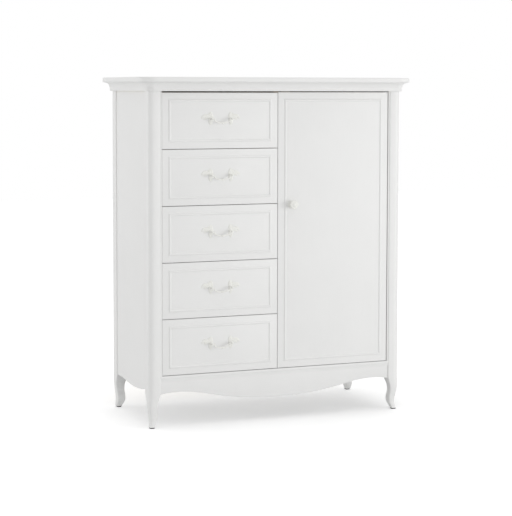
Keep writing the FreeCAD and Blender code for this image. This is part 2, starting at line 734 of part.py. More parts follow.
# ---------------------------------------------------------------- build and save
def build():
    os.makedirs("parts", exist_ok=True)

    lower_seat, lower_pivot = pivot_plate(z_deck, -1)
    upper_seat, upper_pivot = pivot_plate(z_ceiling, 1)

    # Posts, panels and front frame
    for node, timber in (("front", post(False)), ("rear", post(True))):
        save(node + "_right_post", timber)
        save(node + "_left_post", mirrored(timber))
    save("floor_glides", *glides())
    side = side_panel()
    save("left_side_panel", mirrored(side))
    save("right_side_panel", side)
    save("back_panel", block(-post_inner, post_inner, y_back_panel, y_back_panel + back_thickness,
                             z_deck_under, z_top))
    deck = notched_panel(y_front + apron_set_back, z_deck_under, deck_thickness)
    save("bottom_panel", one_solid(deck.cut(lower_seat)))
    ceiling = notched_panel(y_front, z_ceiling, ceiling_thickness)
    save("case_top_panel", one_solid(ceiling.cut(upper_seat)))
    save("centre_partition", block(partition_left, partition_right, y_carcase, y_back_panel,
                                   z_deck, z_ceiling))
    save("front_apron", front_apron())
    save("base_strip", base_strip())
    stile = block(opening_half, post_inner, y_fronts, y_fronts + stile_thickness, z_deck, z_ceiling)
    save("face_stiles", mirrored(stile), stile)

    # Top
    save("cornice_front", cornice_front())
    save("cornice_left", mirrored(cornice_side()))
    save("cornice_right", cornice_side())
    save("top_board", top_board())
    save("top_rails", *top_rails())

    # Drawers and what they run on
    save("runner_battens", *[block(-side_inner, -opening_half, y, y + batten_width,
                                   z_deck, z_ceiling)
                             for y in (y_post_back, y_rear_post - batten_width)])
    runners = []
    for level in range(drawer_count):
        z_front = z_deck + gap + pitch * level
        runners += runner_pair(z_front + box_rise)
        drawer(drawer_count - level, z_front)
    save("drawer_runners", *runners)

    # Door
    save("door_panel", door_panel())
    save("door_beading", *beading(door_bead_inset, door_left, door_right, door_bottom, door_top))
    save("door_knob", door_knob())
    save("pivot_sockets", pivot_socket(door_bottom), pivot_socket(door_top - socket_depth))
    save("pivot_plates", lower_pivot, upper_pivot)
    catch_x = door_left + catch_inset
    save("door_catch", block(catch_x, catch_x + catch_length, y_carcase, y_carcase + catch_depth,
                             z_ceiling - catch_height, z_ceiling))
    save("catch_strike", block(catch_x + strike_margin, catch_x + catch_length - strike_margin,
                               y_fronts_back, y_fronts_back + strike_thickness,
                               z_ceiling - catch_height, door_top - 1.0))

    # Door compartment
    save("shelf", shelf())
    save("shelf_cleats", *shelf_cleats())
    save("garment_rod", garment_rod())
    save("rod_brackets", rod_bracket(partition_right, 1), rod_bracket(side_inner, -1))


build()
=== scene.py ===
"""Painted chifforobe: white lacquered case with five drawers beside a tall door.

The sections follow the object as it is put together.  Metres, +Z up, and the front faces -Y.
"""
import bmesh
import bpy
import math
from mathutils import Matrix, Vector


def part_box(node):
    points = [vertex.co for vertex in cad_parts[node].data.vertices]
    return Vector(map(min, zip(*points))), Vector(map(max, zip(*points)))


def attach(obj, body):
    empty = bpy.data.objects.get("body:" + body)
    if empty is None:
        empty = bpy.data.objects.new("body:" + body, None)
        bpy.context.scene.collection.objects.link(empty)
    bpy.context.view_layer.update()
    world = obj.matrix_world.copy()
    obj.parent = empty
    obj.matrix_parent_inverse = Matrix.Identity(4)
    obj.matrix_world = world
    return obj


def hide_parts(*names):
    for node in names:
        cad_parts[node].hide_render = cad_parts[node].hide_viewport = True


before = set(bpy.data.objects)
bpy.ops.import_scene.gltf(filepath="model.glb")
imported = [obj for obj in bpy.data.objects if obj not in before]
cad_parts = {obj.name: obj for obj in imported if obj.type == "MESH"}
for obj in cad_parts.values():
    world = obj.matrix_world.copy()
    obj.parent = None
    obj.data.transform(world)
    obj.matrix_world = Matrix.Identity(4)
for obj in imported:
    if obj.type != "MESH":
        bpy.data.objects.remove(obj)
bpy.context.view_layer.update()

# ---------------------------------------------------------------- camera
# A long lens stands off the left front corner, a little above the middle of the case and tipped
# down slightly, so that the posts stay nearly upright in the picture.
camera = bpy.data.objects.new("camera", bpy.data.cameras.new("camera"))
bpy.context.scene.collection.objects.link(camera)
camera.location = (-2.3787, -5.9378, 1.3267)
camera.rotation_euler = (math.radians(90 - 3.755), math.radians(-0.096), math.radians(-21.751))
camera.data.lens = 108.55
camera.data.sensor_width = 36.0
camera.data.shift_y = -0.13
camera.data.clip_end = 100.0
bpy.context.scene.camera = camera


# ---------------------------------------------------------------- floor, lamps and sky
# Sweep of matt white studio paper under a wide soft sky, with soft boxes at the right, at the left,
# overhead and low in front.  The eye sees white paper darkened by the shadow of the case, and by
# painted shade round the case, where a painted glow on the paper is weaker.
def linear(hex_colour):
    """Linear red, green, blue and alpha of an sRGB colour written as six hex digits."""
    channels = [int(hex_colour[place:place + 2], 16) / 255 for place in (0, 2, 4)]
    return tuple(c / 12.92 if c <= 0.04045 else ((c + 0.055) / 1.055) ** 2.4
                 for c in channels) + (1.0,)


def add_node(tree, kind, links=(), **settings):
    """Adds a node; settings name its inputs or properties, links are (input, output socket)."""
    made = tree.nodes.new(kind)
    for key, value in settings.items():
        if hasattr(made, key):
            setattr(made, key, value)
        else:
            made.inputs[key.replace("_", " ")].default_value = value
    for socket, source in links:
        tree.links.new(source, made.inputs[socket])
    return made


def blank_material(name):
    """New material with no nodes, and its node tree."""
    material = bpy.data.materials.new(name)
    material.use_nodes = True
    material.node_tree.nodes.clear()
    return material, material.node_tree


def two_tone(tree, source, low, low_colour, high, high_colour):
    """Colour that runs from one to the other as the source goes from low to high."""
    ramp = add_node(tree, "ShaderNodeValToRGB", [("Fac", source)])
    stops = zip(ramp.color_ramp.elements, (low, high), (low_colour, high_colour))
    for stop, place, colour in stops:
        stop.position = place
        stop.color = linear(colour)
    return ramp.outputs["Color"]


def place_on(tree):
    """Output socket of a point's place on the object, in metres."""
    return add_node(tree, "ShaderNodeTexCoord").outputs["Object"]


def noise(tree, place, scale, detail, roughness=0.5, distortion=0.0):
    """Output socket of a noise whose patches are about 1 / scale metres wide."""
    made = add_node(tree, "ShaderNodeTexNoise", [("Vector", place)], Scale=scale, Detail=detail,
                    Roughness=roughness, Distortion=distortion)
    return made.outputs["Fac"]


# Uncoated paper: its fibres leave a mottle some 15 mm wide that is barely lighter and darker.
paper, tree = blank_material("white_studio_paper")
path = add_node(tree, "ShaderNodeLightPath")
spot = place_on(tree)
mottle = noise(tree, spot, 60.0, 3.0)
lit = add_node(tree, "ShaderNodeBsdfDiffuse",
               [("Color", two_tone(tree, mottle, 0.3, "F5F5F5", 0.7, "F9F9F9"))])
# The paper is given a painted glow.  It is weaker near the middle, which keeps the floor round the
# case darker as painted shade, and stronger away from it, so that it runs out to plain white.
away = add_node(tree, "ShaderNodeVectorMath", [(0, spot)], operation="LENGTH")
glow = add_node(tree, "ShaderNodeMapRange", [("Value", away.outputs["Value"])],
                interpolation_type="SMOOTHSTEP", From_Min=0.35, From_Max=1.15, To_Min=0.252,
                To_Max=0.445)
own = add_node(tree, "ShaderNodeEmission", [("Strength", glow.outputs["Result"])],
               Color=linear("FFFFFF"))
seen = add_node(tree, "ShaderNodeAddShader",
                [(0, lit.outputs["BSDF"]), (1, own.outputs["Emission"])])
either = add_node(tree, "ShaderNodeMixShader",
                  [("Fac", path.outputs["Is Camera Ray"]), (1, lit.outputs["BSDF"]),
                   (2, seen.outputs["Shader"])])
add_node(tree, "ShaderNodeOutputMaterial", [("Surface", either.outputs["Shader"])])

bpy.ops.object.select_all(action="DESELECT")
bpy.ops.mesh.primitive_plane_add(size=24, location=(0, 0, 0))
floor = bpy.context.object
floor.name = "studio_floor"
floor.data.materials.append(paper)

world = bpy.data.worlds.new("studio")
bpy.context.scene.world = world
world.use_nodes = True
tree = world.node_tree
tree.nodes.clear()
path = add_node(tree, "ShaderNodeLightPath")
straight = add_node(tree, "ShaderNodeMath",
                    [(0, path.outputs["Is Camera Ray"]), (1, path.outputs["Is Glossy Ray"])],
                    operation="MAXIMUM")
through = add_node(tree, "ShaderNodeMath",
                   [(0, straight.outputs["Value"]), (1, path.outputs["Is Transmission Ray"])],
                   operation="MAXIMUM")
dim = add_node(tree, "ShaderNodeBackground", Color=linear("FFFFFF"), Strength=0.67)
white = add_node(tree, "ShaderNodeBackground", Color=linear("FFFFFF"), Strength=1.0)
sky = add_node(tree, "ShaderNodeMixShader",
               [("Fac", through.outputs["Value"]), (1, dim.outputs["Background"]),
                (2, white.outputs["Background"])])
add_node(tree, "ShaderNodeOutputWorld", [("Surface", sky.outputs["Shader"])])


def soft_lamp(name, place, target, width, height, watts):
    """Soft box that faces the target."""
    data = bpy.data.lights.new(name, "AREA")
    data.shape = "RECTANGLE"
    data.size = width
    data.size_y = height
    data.energy = watts
    lamp = bpy.data.objects.new(name, data)
    bpy.context.scene.collection.objects.link(lamp)
    lamp.location = place
    lamp.rotation_euler = (Vector(target) - Vector(place)).to_track_quat("-Z", "Y").to_euler()


soft_lamp("key_lamp", (7.0, -6.2, 1.3), (0, 0, 0.8), 3.6, 3.6, 200)
soft_lamp("fill_lamp", (-6.0, 2.2, 0.8), (0, 0, 0.8), 2.4, 2.4, 78)
soft_lamp("overhead_lamp", (0.0, -1.0, 6.5), (0, -0.2, 0.6), 7.0, 7.0, 66)
soft_lamp("low_front_lamp", (3.5, -7.0, 0.35), (0, 0, 0.3), 3.0, 0.6, 46)
bpy.context.scene.view_settings.view_transform = "Standard"


# ---------------------------------------------------------------- corner posts and cabriole legs
# Poplar posts, square in section and round at the front outer corners, bandsawn into an S below.
# They are sprayed with primer and white satin lacquer, so the eye gets a smooth even white with
# softened arrises, faint orange peel and hardly a trace of the grain.
def multiplied(tree, first, second, share=1.0):
    """Output socket of the first colour darkened by the second, as far as the share says."""
    mixed = tree.nodes.new("ShaderNodeMix")
    mixed.data_type = "RGBA"
    mixed.blend_type = "MULTIPLY"
    mixed.inputs[0].default_value = share
    tree.links.new(first, mixed.inputs[6])
    tree.links.new(second, mixed.inputs[7])
    return mixed.outputs[2]


def along_grain(tree, along, stretch):
    """Output socket of the place on the object, drawn out along axis 0, 1 or 2."""
    scale = [1.0, 1.0, 1.0]
    scale[along] = stretch
    turned = add_node(tree, "ShaderNodeMapping", [("Vector", place_on(tree))], Scale=scale)
    return turned.outputs["Vector"]


def spread(tree, source, low, high):
    """Output socket of a value that runs from low to high as the source goes from 0 to 1."""
    made = add_node(tree, "ShaderNodeMapRange", [("Value", source)], To_Min=low, To_Max=high)
    return made.outputs["Result"]


def bumps(tree, height, strength, distance, under=()):
    """Output socket of the normal of fine bumps, which may lie over others."""
    made = add_node(tree, "ShaderNodeBump", [("Height", height), *under],
                    Strength=strength, Distance=distance)
    return made.outputs["Normal"]


def surfaced(tree, links, **settings):
    """Makes a surface with those links and settings the look of the material."""
    surface = add_node(tree, "ShaderNodeBsdfPrincipled", links, **settings)
    add_node(tree, "ShaderNodeOutputMaterial", [("Surface", surface.outputs["BSDF"])])


def white_lacquer(name, along):
    """Satin lacquer sprayed over wood whose grain runs along axis 0, 1 or 2."""
    material, tree = blank_material(name)
    spot = place_on(tree)
    # Pores are 1 to 2 mm apart in the wood and are drawn at 3 mm, so that they show at all.
    pores = noise(tree, along_grain(tree, along, 0.04), 330.0, 4.0, 0.6)
    # The spray gun lays the coat in passes some 200 mm wide.
    mist = noise(tree, spot, 5.0, 3.0)
    # Orange peel has a pitch of about 2 mm.
    peel = noise(tree, spot, 420.0, 2.0)
    coat = two_tone(tree, mist, 0.32, "E7E7E6", 0.68, "E9E9E8")
    lines = two_tone(tree, pores, 0.34, "FEFEFE", 0.52, "FFFFFF")
    relief = bumps(tree, pores, 0.02, 0.0003)
    surfaced(tree, [("Base Color", multiplied(tree, coat, lines)),
                    ("Roughness", spread(tree, mist, 0.38, 0.46)),
                    ("Normal", bumps(tree, peel, 0.03, 0.0003, [("Normal", relief)]))], IOR=1.48)
    return material


lacquer_upright = white_lacquer("white_satin_lacquer_upright", 2)
lacquer_across = white_lacquer("white_satin_lacquer_across", 0)
lacquer_deep = white_lacquer("white_satin_lacquer_front_to_back", 1)


def begin(add, **where):
    """Adds a primitive with nothing else selected, and leaves it in edit mode."""
    bpy.ops.object.select_all(action="DESELECT")
    add(**where)
    piece = bpy.context.object
    bpy.ops.object.transform_apply(location=True, rotation=True, scale=True)
    bpy.ops.object.mode_set(mode="EDIT")
    return piece


def pick(piece, kind, test):
    """Selects the corners, edges or faces that pass the test."""
    bpy.ops.mesh.select_mode(type=kind)
    bpy.ops.mesh.select_all(action="DESELECT")
    mesh = bmesh.from_edit_mesh(piece.data)
    for part in {"VERT": mesh.verts, "EDGE": mesh.edges, "FACE": mesh.faces}[kind]:
        if test(part):
            part.select_set(True)
    mesh.select_flush_mode()
    bmesh.update_edit_mesh(piece.data)


def closed_up(piece):
    """Merges doubled corners, turns the faces outwards and leaves edit mode."""
    if bpy.context.mode != "OBJECT":
        bpy.ops.mesh.select_mode(type="VERT")
        bpy.ops.mesh.select_all(action="SELECT")
        bpy.ops.mesh.remove_doubles(threshold=0.000005)
        bpy.ops.mesh.normals_make_consistent(inside=False)
        bpy.ops.object.mode_set(mode="OBJECT")
    return piece


def finished(piece, name, body, material, slot, *nodes, smooth=32.0):
    """Names and paints the piece, and sets it on its body in place of those CAD nodes."""
    closed_up(piece)
    bpy.ops.object.select_all(action="DESELECT")
    piece.select_set(True)
    bpy.context.view_layer.objects.active = piece
    bpy.ops.object.shade_smooth_by_angle(angle=math.radians(smooth))
    piece.name = name
    piece.data.name = name
    piece.data.materials.clear()
    piece.data.materials.append(material)
    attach(piece, body)
    if nodes:
        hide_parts(*nodes)
    return piece


def another(piece, shift=(0, 0, 0), mirror=False):
    """Copy with a mesh of its own, moved by shift or mirrored left to right."""
    twin = piece.copy()
    twin.data = piece.data.copy()
    bpy.context.scene.collection.objects.link(twin)
    if mirror:
        twin.data.transform(Matrix.Scale(-1, 4, (1, 0, 0)))
        twin.data.flip_normals()
    twin.data.transform(Matrix.Translation(shift))
    return twin


# Station: height, set-in of the outer faces, reach of the inner side face, how much deeper the leg
# is than that reach, and radius of the outer corner, all in millimetres.
leg_stations = [
    (150, 0.0, 50.0, 0.0, 25.0), (135, 0.0, 49.8, 0.0, 24.0), (120, 0.3, 45.5, -0.5, 21.0),
    (105, 1.2, 40.5, -1.0, 17.0), (90, 2.8, 38.0, 0.0, 13.5), (75, 5.4, 37.4, 2.0, 10.5),
    (60, 8.6, 38.2, 6.0, 8.5), (45, 11.4, 39.0, 9.0, 7.5), (30, 12.0, 37.6, 8.5, 7.0),
    (16.5, 10.0, 33.0, 4.5, 6.0), (4, 7.5, 28.5, 0.0, 5.0)]


def flowing(stations, steps):
    """The stations with others between them on a smooth curve through all."""
    rows = []
    for index in range(len(stations) - 1):
        before = stations[max(index - 1, 0)]
        start, end = stations[index], stations[index + 1]
        after = stations[min(index + 2, len(stations) - 1)]
        for step in range(steps):
            t = step / steps
            rows.append(tuple(
                0.5 * (2 * b + (c - a) * t + (2 * a - 5 * b + 4 * c - d) * t * t
                       + (3 * b - a - 3 * c + d) * t ** 3)
                for a, b, c, d in zip(before, start, end, after)))
    rows.append(tuple(stations[-1]))
    return rows


leg_top = 0.150
post_width = 0.050


def saw_post(node, at_back):
    """Right-hand post: a square start is given its corners, then pulled up and drawn down."""
    low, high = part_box(node)
    outer_face = high.x
    depth = 0.046 if at_back else post_width

    def section(set_in, reach, deeper):
        """Sides of the leg there, as lowest and highest x and lowest and highest y."""
        set_in, reach = set_in / 1000, reach / 1000
        deep = reach + deeper / 1000 + depth - post_width
        if at_back:
            return (outer_face - reach, outer_face - 0.55 * set_in, high.y - deep,
                    high.y - 0.3 * set_in)
        return outer_face - reach, outer_face - set_in, low.y + set_in, low.y + deep

    x0, x1, y0, y1 = section(0.0, 50.0, 0.0)
    middle = ((x0 + x1) / 2, (y0 + y1) / 2, leg_top)
    piece = begin(bpy.ops.mesh.primitive_plane_add, size=1, location=middle)
    bpy.ops.transform.resize(value=(x1 - x0, y1 - y0, 1), center_override=middle)
    arris = 0.002
    rounding = arris if at_back else 0.025
    pick(piece, "VERT", lambda v: v.co.x > middle[0] and v.co.y < middle[1])
    bpy.ops.mesh.bevel(offset=rounding, segments=3 if at_back else 10, affect="VERTICES")
    pick(piece, "VERT", lambda v: (abs(v.co.x - x0) < 1e-5 or abs(v.co.y - y1) < 1e-5)
         and (min(abs(v.co.x - x0), abs(v.co.x - x1))
              + min(abs(v.co.y - y0), abs(v.co.y - y1))) < 1e-5)
    bpy.ops.mesh.bevel(offset=arris, segments=3, affect="VERTICES")
    rounds = {(1, -1): rounding, (-1, -1): arris, (-1, 1): arris, (1, 1): arris}
    bpy.ops.mesh.select_mode(type="EDGE")
    bpy.ops.mesh.select_all(action="SELECT")
    bpy.ops.mesh.extrude_region_move(TRANSFORM_OT_translate={"value": (0, 0, high.z - leg_top)})
    pick(piece, "FACE", lambda f: abs(f.calc_center_median().z - leg_top) < 1e-5)
    bpy.ops.mesh.delete(type="ONLY_FACE")
    pick(piece, "EDGE", lambda e: all(abs(v.co.z - leg_top) < 1e-5 for v in e.verts))
    old = (x0, x1, y0, y1)
    level = leg_top
    for height, set_in, reach, deeper, corner in flowing(leg_stations, 3)[1:]:
        new = section(set_in, reach, deeper)
        drop = height / 1000 - level
        level += drop
        bpy.ops.mesh.extrude_region_move(TRANSFORM_OT_translate={"value": (0, 0, drop)})
        old_middle = ((old[0] + old[1]) / 2, (old[2] + old[3]) / 2, level)
        new_middle = ((new[0] + new[1]) / 2, (new[2] + new[3]) / 2, level)
        stretch = ((new[1] - new[0]) / (old[1] - old[0]), (new[3] - new[2]) / (old[3] - old[2]), 1)
        bpy.ops.transform.resize(value=stretch, center_override=old_middle)
        bpy.ops.transform.translate(value=[b - a for a, b in zip(old_middle, new_middle)])
        for (side, end), before in rounds.items():
            soft = 2.0 + 3.0 * (1 - height / 150)
            wanted = (soft if at_back or (side, end) != (1, -1) else corner) / 1000
            corner_at = (new[1] if side > 0 else new[0], new[3] if end > 0 else new[2], level)
            pick(piece, "VERT", lambda v: abs(v.co.z - level) < 1e-5
                 and (v.co.x - new_middle[0]) * side > 0 and (v.co.y - new_middle[1]) * end > 0)
            ratio = wanted / (before * (stretch[0] + stretch[1]) / 2)
            bpy.ops.transform.resize(value=(ratio, ratio, 1), center_override=corner_at)
            rounds[(side, end)] = wanted
        pick(piece, "EDGE", lambda e: all(abs(v.co.z - level) < 1e-5 for v in e.verts))
        old = new
    bpy.ops.mesh.edge_face_add()
    return piece


for end, at_back in (("front", False), ("rear", True)):
    right = saw_post(end + "_right_post", at_back)
    right = finished(right, end + "_right_post_and_leg", "case", lacquer_upright, "painted_wood",
                     end + "_right_post", smooth=40)
    left = another(right, mirror=True)
    finished(left, end + "_left_post_and_leg", "case", lacquer_upright, "painted_wood",
             end + "_left_post", smooth=40)


# ---------------------------------------------------------------- glides
# Square pads of moulded black polyethylene with round corners, tacked under the feet.  Moulding
# leaves them matt, with a rounded lower rim and scuffs where they slide.
def cuboid(middle, size):
    """Square block of that size about the middle, in edit mode."""
    block = begin(bpy.ops.mesh.primitive_cube_add, size=1, location=middle)
    bpy.ops.transform.resize(value=size, center_override=middle)
    return block


glide_black, tree = blank_material("moulded_black_polyethylene")
# Scuffs are about 1 mm apart.
scuffs = noise(tree, place_on(tree), 900.0, 4.0, 0.7)
surfaced(tree, [("Base Color", two_tone(tree, scuffs, 0.3, "171717", 0.7, "252525")),
                ("Roughness", spread(tree, scuffs, 0.45, 0.75)),
                ("Normal", bumps(tree, scuffs, 0.2, 0.0001))], IOR=1.51)

glide_low, glide_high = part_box("floor_glides")
glide_half = 0.0095
for side, x in (("left", glide_low.x + glide_half), ("right", glide_high.x - glide_half)):
    for end, y in (("front", glide_low.y + glide_half), ("rear", glide_high.y - glide_half)):
        pad = cuboid((x, y, glide_high.z / 2), (2 * glide_half, 2 * glide_half, glide_high.z))
        pick(pad, "EDGE", lambda e: abs(e.verts[0].co.z - e.verts[1].co.z) > 0.001)
        bpy.ops.mesh.bevel(offset=0.0035, segments=6, affect="EDGES")
        pick(pad, "EDGE", lambda e: all(v.co.z < 1e-5 for v in e.verts))
        bpy.ops.mesh.bevel(offset=0.0010, segments=3, affect="EDGES")
        pick(pad, "EDGE", lambda e: all(v.co.z > glide_high.z - 1e-5 for v in e.verts))
        bpy.ops.mesh.bevel(offset=0.0004, segments=1, affect="EDGES")
        finished(pad, end + "_" + side + "_glide", "case", glide_black, "glide_plastic",
                 "floor_glides", smooth=50)


# ---------------------------------------------------------------- panels of the case
# The side panels and the bottom board are lacquered as the posts are.  Inside, the eye gets sealed
# birch plywood above and at the partition, sealed poplar rails, and a thin back of bare plywood.
def dress(material, *nodes):
    """Gives a finish to CAD nodes whose shape is right."""
    for name in nodes:
        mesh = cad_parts[name].data
        for index in range(len(mesh.materials)):
            mesh.materials[index] = material
        if not mesh.materials:
            mesh.materials.append(material)


def sealed_wood(name, along, pale, dark, growth, pore, shine):
    """Clear-sealed wood; growth and pore are the pitches of its figure and its pores in metres."""
    material, tree = blank_material(name)
    turned = along_grain(tree, along, 0.07)
    drift = noise(tree, turned, 1.0 / (growth * 6), 2.0)
    figure = noise(tree, turned, 1.0 / growth, 5.0, 0.55, 0.8)
    pores = noise(tree, along_grain(tree, along, 0.03), 1.0 / pore, 3.0, 0.6)
    broad = two_tone(tree, figure, 0.30, dark, 0.62, pale)
    cloud = two_tone(tree, drift, 0.30, "F1ECE2", 0.70, "FFFFFF")
    fleck = two_tone(tree, pores, 0.36, "DCD2C2", 0.47, "FFFFFF")
    surfaced(tree, [("Base Color", multiplied(tree, multiplied(tree, broad, cloud), fleck)),
                    ("Roughness", spread(tree, figure, shine + 0.05, shine - 0.05)),
                    ("Normal", bumps(tree, pores, 0.25, 0.0003))], IOR=1.5)
    return material


birch = ("E2CFAE", "CDB38A", 0.022, 0.0022, 0.50)
poplar = ("DCCBA5", "C4AF82", 0.014, 0.0018, 0.48)
birch_across = sealed_wood("sealed_birch_plywood_across", 0, *birch)
birch_upright = sealed_wood("sealed_birch_plywood_upright", 2, *birch)
poplar_across = sealed_wood("sealed_poplar_across", 0, *poplar)
poplar_deep = sealed_wood("sealed_poplar_front_to_back", 1, *poplar)
poplar_upright = sealed_wood("sealed_poplar_upright", 2, *poplar)
thin_plywood = sealed_wood("bare_rotary_cut_plywood", 2, "DED5C4", "CCC0AA", 0.040, 0.0030, 0.68)

dress(lacquer_upright, "left_side_panel", "right_side_panel")
dress(lacquer_across, "bottom_panel")
dress(thin_plywood, "back_panel")
dress(birch_across, "case_top_panel")
dress(birch_upright, "centre_partition")
dress(poplar_across, "top_rails")
dress(poplar_upright, "runner_battens")


# ---------------------------------------------------------------- face strips
# A narrow strip closes the front beside each post.  Its arris is sanded off before it is glued in,
# which leaves a fine groove in the paint down the joint.
def slab(node):
    """Square block that fills a node's box, in edit mode."""
    low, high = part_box(node)
    return cuboid((low + high) / 2, high - low), low, high


strip, low, high = slab("face_stiles")
strip_width = 0.006
pick(strip, "VERT", lambda v: v.co.x < 0)
bpy.ops.transform.translate(value=(2 * high.x - strip_width, 0, 0))
pick(strip, "EDGE", lambda e: all(v.co.y < low.y + 1e-5 for v in e.verts)
     and all(v.co.x > high.x - 1e-5 for v in e.verts))
bpy.ops.mesh.bevel(offset=0.0016, segments=3, affect="EDGES")
pick(strip, "EDGE", lambda e: all(v.co.y < low.y + 1e-5 and v.co.x < high.x - strip_width + 1e-5
                                  for v in e.verts))
bpy.ops.mesh.bevel(offset=0.0006, segments=2, affect="EDGES")
right = finished(strip, "right_face_strip", "case", lacquer_upright, "painted_wood", "face_stiles",
                 smooth=40)
finished(another(right, mirror=True), "left_face_strip", "case", lacquer_upright, "painted_wood",
         "face_stiles", smooth=40)


# ---------------------------------------------------------------- front apron and base strip
# The apron is a poplar board bandsawn to two arches and a long drop, with its edge sanded round.
# The base strip is a moulded length glued over the front edge of the bottom panel.
apron_low, apron_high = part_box("front_apron")
half_edge = [(0.0, 0.0), (0.20, 0.05), (0.36, 0.20), (0.52, 0.48), (0.68, 0.835),
             (0.825, 1.0), (0.93, 0.96), (1.0, 0.862)]
apron_rise = 0.047
apron_foot = 0.092
right_edge = [(apron_high.x * share, apron_foot + apron_rise * up) for share, up in half_edge]
lower_edge = flowing([(-x, z) for x, z in reversed(right_edge[1:])] + right_edge, 6)
board = begin(bpy.ops.mesh.primitive_grid_add, x_subdivisions=len(lower_edge) - 1,
              y_subdivisions=1, size=1, rotation=(math.pi / 2, 0, 0), location=(0, apron_low.y, 0))
mesh = bmesh.from_edit_mesh(board.data)
for row, upper in ((sorted((v for v in mesh.verts if v.co.z < 0), key=lambda v: v.co.x), False),
                   (sorted((v for v in mesh.verts if v.co.z > 0), key=lambda v: v.co.x), True)):
    for corner, (x, z) in zip(row, lower_edge):
        corner.co = (x, apron_low.y, apron_high.z if upper else z)
bmesh.update_edit_mesh(board.data)
bpy.ops.mesh.select_all(action="SELECT")
bpy.ops.mesh.extrude_region_move(
    TRANSFORM_OT_translate={"value": (0, apron_high.y - apron_low.y, 0)})
pick(board, "EDGE", lambda e: abs(e.verts[0].co.y - e.verts[1].co.y) < 1e-6
     and all(v.co.z < apron_high.z - 0.01 for v in e.verts)
     and abs(e.verts[0].co.x - e.verts[1].co.x) > 1e-5)
bpy.ops.mesh.bevel(offset=0.0018, segments=3, affect="EDGES")
finished(board, "shaped_front_apron", "case", lacquer_across, "painted_wood", "front_apron",
         smooth=40)


def outline(points):
    """Flat start of a moulding, with a corner at each point."""
    start = begin(bpy.ops.mesh.primitive_circle_add, vertices=len(points), radius=0.001,
                  fill_type="NGON")
    mesh = bmesh.from_edit_mesh(start.data)
    mesh.verts.ensure_lookup_table()
    for corner, point in zip(mesh.verts, points):
        corner.co = point
    bmesh.update_edit_mesh(start.data)
    bpy.ops.mesh.select_mode(type="FACE")
    bpy.ops.mesh.select_all(action="SELECT")
    return start


def bow(start, middle, end, steps):
    """Points from start to end on a soft bow pulled out to the middle."""
    pull = [2 * m - (s + e) / 2 for s, m, e in zip(start, middle, end)]
    return [tuple((1 - t) ** 2 * s + 2 * t * (1 - t) * p + t * t * e
                  for s, p, e in zip(start, pull, end))
            for t in (step / steps for step in range(steps + 1))]


strip_low, strip_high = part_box("base_strip")
back, front = strip_high.y, strip_low.y
half = (back + front) / 2
bead_height = 0.01196
bead_foot = strip_high.z - bead_height
cove_top = bead_foot - 0.002
bead_middle = (strip_high.z + bead_foot) / 2
profile = ([(back, strip_low.z), (back, strip_high.z)]
           + bow((half, strip_high.z), (front, bead_middle), (half, bead_foot), 10)
           + bow((half, cove_top), (half + 0.0009, (cove_top + strip_low.z) / 2),
                 (back - 0.0006, strip_low.z), 6))
strip = outline([(strip_low.x, y, z) for y, z in profile])
bpy.ops.mesh.extrude_region_move(
    TRANSFORM_OT_translate={"value": (strip_high.x - strip_low.x, 0, 0)})
finished(strip, "moulded_base_strip", "case", lacquer_across, "painted_wood", "base_strip")


# ---------------------------------------------------------------- cornice
# Coved moulding run along the front, bent round the two corners and returned along the sides.  It
# is glued up in three lengths, mitred half-way round each corner and painted over.
corner_x, corner_y = 0.519, -0.194
case_x, case_y = 0.544, -0.219
rest_z, band_z, crown_z = 1.317, 1.333, 1.353
band_out, cove_radius, crown_out = 0.011, 0.018, 0.034
cove_centre = 0.031
cornice_profile = (
    [(0.0, rest_z), (band_out - 0.0025, rest_z), (band_out - 0.0007, rest_z + 0.0007),
     (band_out, rest_z + 0.0025), (band_out, band_z - 0.0006), (0.0116, band_z), (0.0124, band_z)]
    + [(cove_centre - cove_radius * math.cos(math.radians(turn)),
        band_z + cove_radius * math.sin(math.radians(turn))) for turn in range(6, 91, 7)]
    + [(crown_out - 0.0006, crown_z - 0.002), (crown_out, crown_z - 0.0014), (crown_out, crown_z),
       (0.0, crown_z)])


def turn_corner(piece, test, side, turn):
    """Bends the moulding on from the end face that passes the test, about a case corner."""
    pick(piece, "FACE", test)
    bpy.ops.mesh.spin(steps=8, angle=math.radians(turn), center=(side * corner_x, corner_y, 0),
                      axis=(0, 0, 1))


front_length = outline([(-corner_x, case_y - out, z) for out, z in cornice_profile])
bpy.ops.mesh.extrude_region_move(TRANSFORM_OT_translate={"value": (2 * corner_x, 0, 0)})
for side in (1, -1):
    turn_corner(front_length, lambda f: abs(f.normal.x) > 0.99
                and abs(f.calc_center_median().x - side * corner_x) < 1e-4, side, -45 * side)
finished(front_length, "cornice_front_length", "case", lacquer_across, "painted_wood",
         "cornice_front")

return_length = outline([(case_x + out, corner_y, z) for out, z in cornice_profile])
bpy.ops.mesh.extrude_region_move(
    TRANSFORM_OT_translate={"value": (0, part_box("cornice_right")[1].y - corner_y, 0)})
turn_corner(return_length, lambda f: abs(f.normal.y) > 0.99
            and abs(f.calc_center_median().y - corner_y) < 1e-4, 1, 45)
right = finished(return_length, "cornice_right_return", "case", lacquer_deep, "painted_wood",
                 "cornice_right")
finished(another(right, mirror=True), "cornice_left_return", "case", lacquer_deep, "painted_wood",
         "cornice_left")


